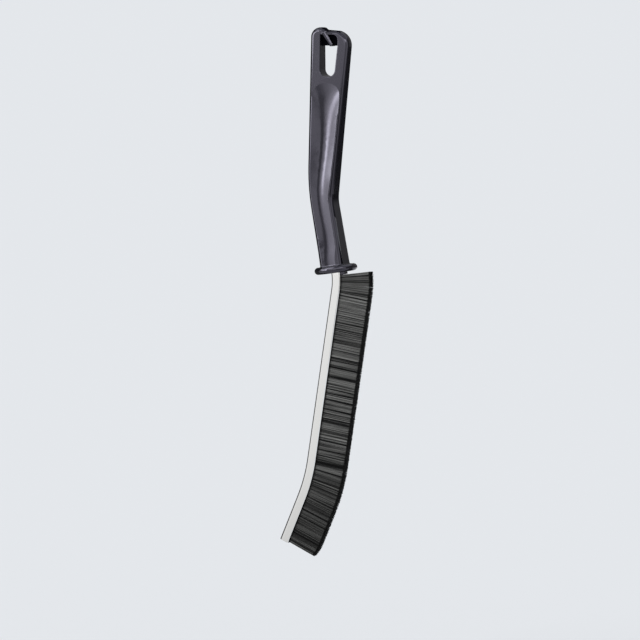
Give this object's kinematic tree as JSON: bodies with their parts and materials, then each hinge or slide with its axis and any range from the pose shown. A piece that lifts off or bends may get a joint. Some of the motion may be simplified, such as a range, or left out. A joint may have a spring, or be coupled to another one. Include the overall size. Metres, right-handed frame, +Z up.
{
  "type": "crevice brush",
  "caption": "Slim crevice brush: bent moulded handle with hang loop and finger guard, and a bent steel channel holding one row of stiff dark bristles.",
  "frame": {"origin": "the hang point in the middle of the loop's slot, on the mid-plane of the handle", "axes": "+Z up along the hanging brush towards the loop, +X the way the bristles point, Y through the hang slot, square to the mid-plane"},
  "size_m": [0.0435, 0.0186, 0.2309],
  "materials": {
    "handle_plastic": "gloss",
    "channel_steel": "satin",
    "wire_steel": "drawn",
    "bristle_nylon": "matte"
  },
  "bodies": {
    "root": {"handle": "handle_plastic", "steel_channel": "channel_steel", "core_wire": "wire_steel", "bristle_bundle_01": "bristle_nylon", "bristle_bundle_02": "bristle_nylon", "bristle_bundle_03": "bristle_nylon", "bristle_bundle_04": "bristle_nylon", "bristle_bundle_05": "bristle_nylon", "bristle_bundle_06": "bristle_nylon", "bristle_bundle_07": "bristle_nylon", "bristle_bundle_08": "bristle_nylon", "bristle_bundle_09": "bristle_nylon", "bristle_bundle_10": "bristle_nylon", "bristle_bundle_11": "bristle_nylon", "bristle_bundle_12": "bristle_nylon", "bristle_bundle_13": "bristle_nylon", "bristle_bundle_14": "bristle_nylon", "bristle_bundle_15": "bristle_nylon", "bristle_bundle_16": "bristle_nylon", "bristle_bundle_17": "bristle_nylon", "bristle_bundle_18": "bristle_nylon", "bristle_bundle_19": "bristle_nylon", "bristle_bundle_20": "bristle_nylon", "bristle_bundle_21": "bristle_nylon", "bristle_bundle_22": "bristle_nylon", "bristle_bundle_23": "bristle_nylon", "bristle_bundle_24": "bristle_nylon", "bristle_bundle_25": "bristle_nylon", "bristle_bundle_26": "bristle_nylon", "bristle_bundle_27": "bristle_nylon", "bristle_bundle_28": "bristle_nylon", "bristle_bundle_29": "bristle_nylon", "bristle_bundle_30": "bristle_nylon", "bristle_bundle_31": "bristle_nylon", "bristle_bundle_32": "bristle_nylon", "bristle_bundle_33": "bristle_nylon", "bristle_bundle_34": "bristle_nylon", "bristle_bundle_35": "bristle_nylon", "bristle_bundle_36": "bristle_nylon", "bristle_bundle_37": "bristle_nylon", "bristle_bundle_38": "bristle_nylon", "bristle_bundle_39": "bristle_nylon", "bristle_bundle_40": "bristle_nylon", "bristle_bundle_41": "bristle_nylon", "bristle_bundle_42": "bristle_nylon", "bristle_bundle_43": "bristle_nylon", "bristle_bundle_44": "bristle_nylon", "bristle_bundle_45": "bristle_nylon", "bristle_bundle_46": "bristle_nylon"}
  },
  "joints": []
}
